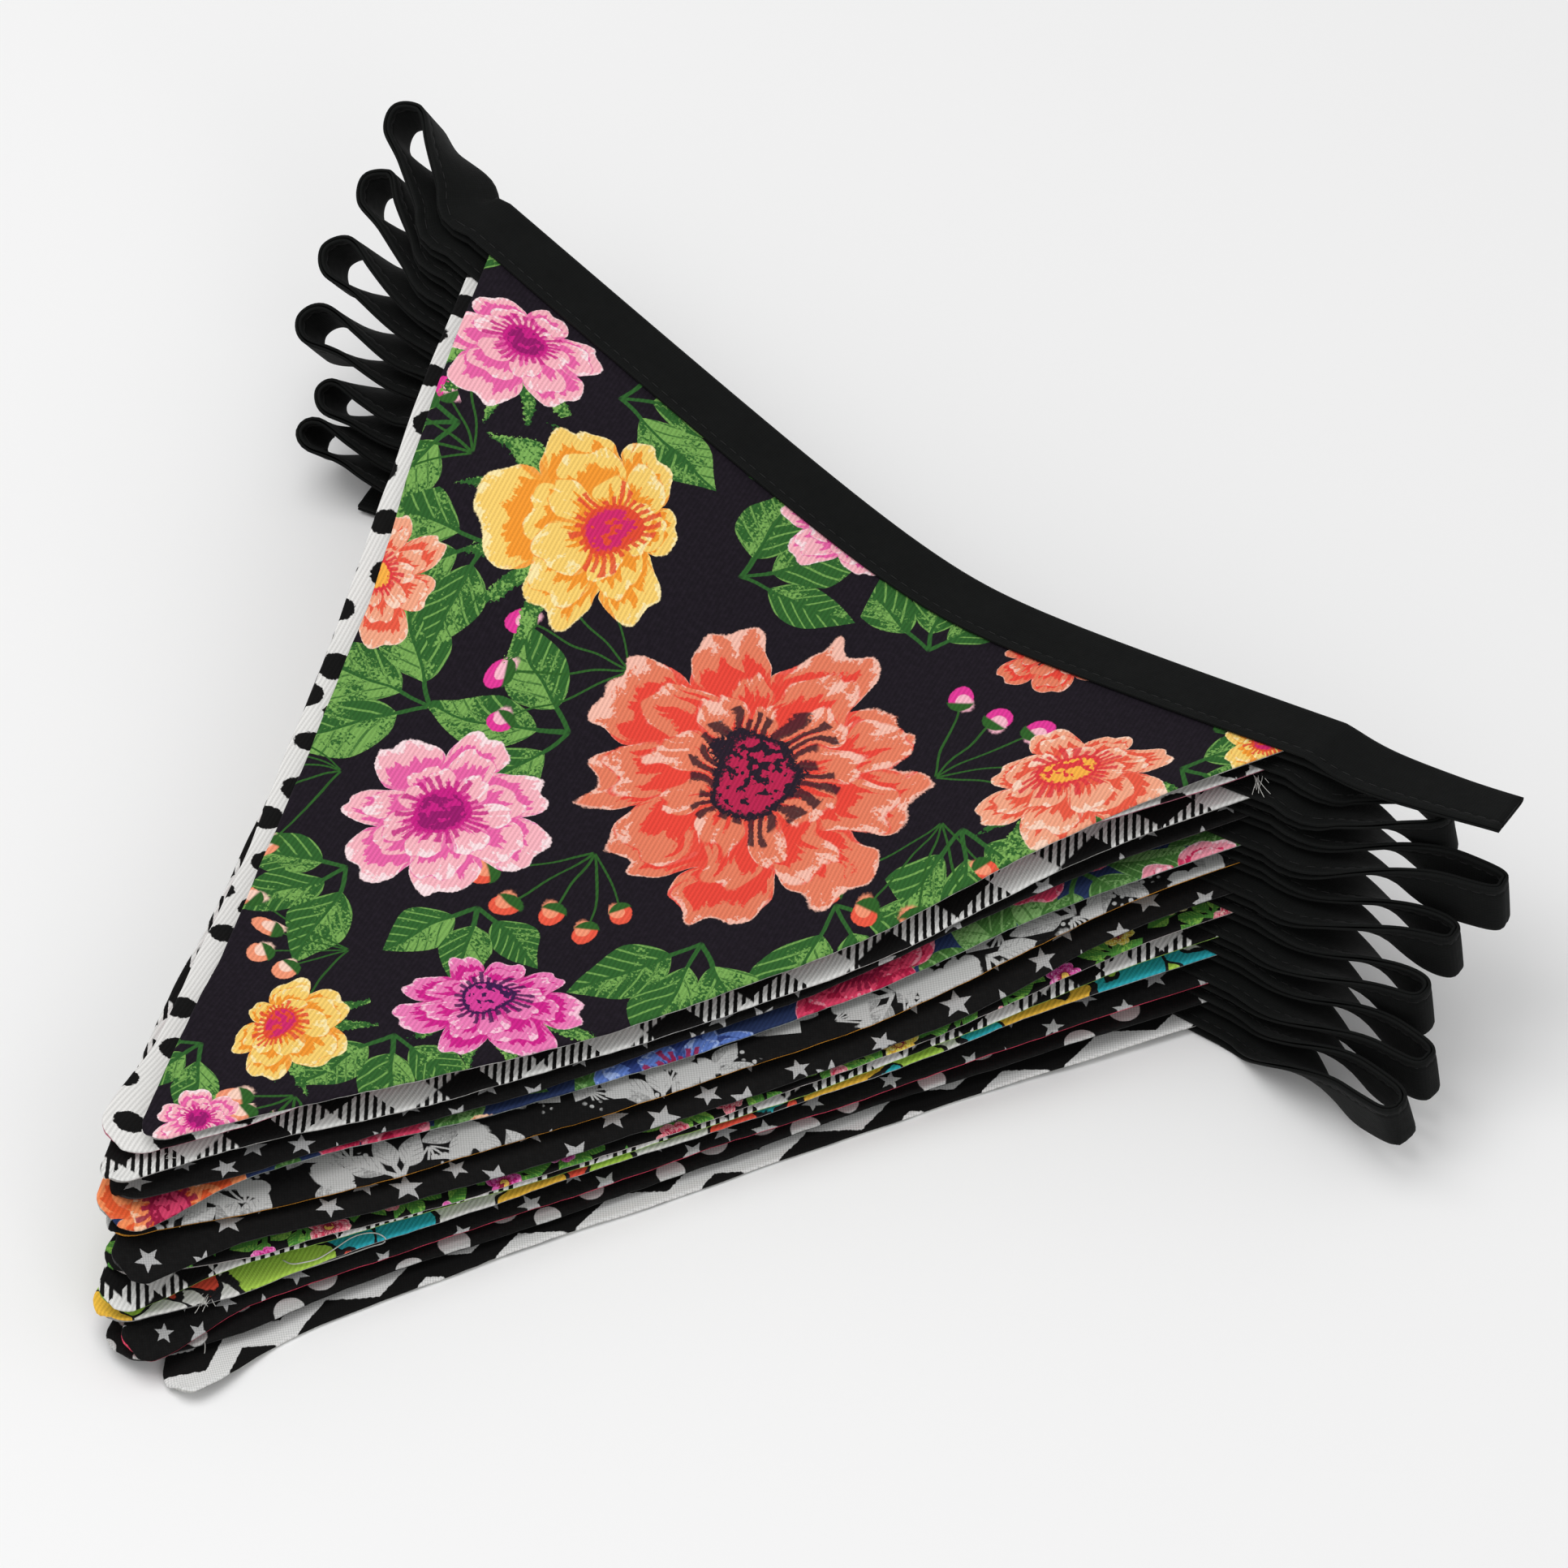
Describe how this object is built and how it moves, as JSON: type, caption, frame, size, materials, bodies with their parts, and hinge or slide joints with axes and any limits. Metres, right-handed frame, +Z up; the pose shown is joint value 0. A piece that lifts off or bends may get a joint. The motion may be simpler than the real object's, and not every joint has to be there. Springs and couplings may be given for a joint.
{
  "type": "fabric bunting",
  "caption": "Folded-up bunting: triangular patterned cotton flags stacked on each other, bound by one black folded tape that loops between them.",
  "frame": {"origin": "centre of the bounding box in X and Y, on the surface that the lowest flag lies on", "axes": "+Z up, +X along the bound edges towards the tape's free cut end, +Y from the flags' points towards their bound edges"},
  "size_m": [0.293, 0.2446, 0.0607],
  "materials": {
    "flag_01": "black twill cotton with a flower print",
    "flag_02": "white cotton with black brush dots",
    "flag_03": "cotton with a black and white check print",
    "flag_04": "black cotton with pale stars",
    "flag_05": "cotton with a red rose print",
    "flag_06": "black cotton with white sprigs",
    "flag_07": "black cotton with pale stars",
    "flag_08": "black cotton with small coloured sprigs",
    "flag_09": "cotton with a fine check print",
    "flag_10": "turquoise and lime print cotton",
    "flag_11": "black cotton with pale stars",
    "flag_12": "red and pink print cotton",
    "flag_13": "black and white striped cotton",
    "tape": "plain black cotton bias tape, stitched"
  },
  "bodies": {
    "root": {"flag_01": "flag_01", "flag_02": "flag_02", "flag_03": "flag_03", "flag_04": "flag_04", "flag_05": "flag_05", "flag_06": "flag_06", "flag_07": "flag_07", "flag_08": "flag_08", "flag_09": "flag_09", "flag_10": "flag_10", "flag_11": "flag_11", "flag_12": "flag_12", "flag_13": "flag_13", "tape": "tape"}
  },
  "joints": []
}
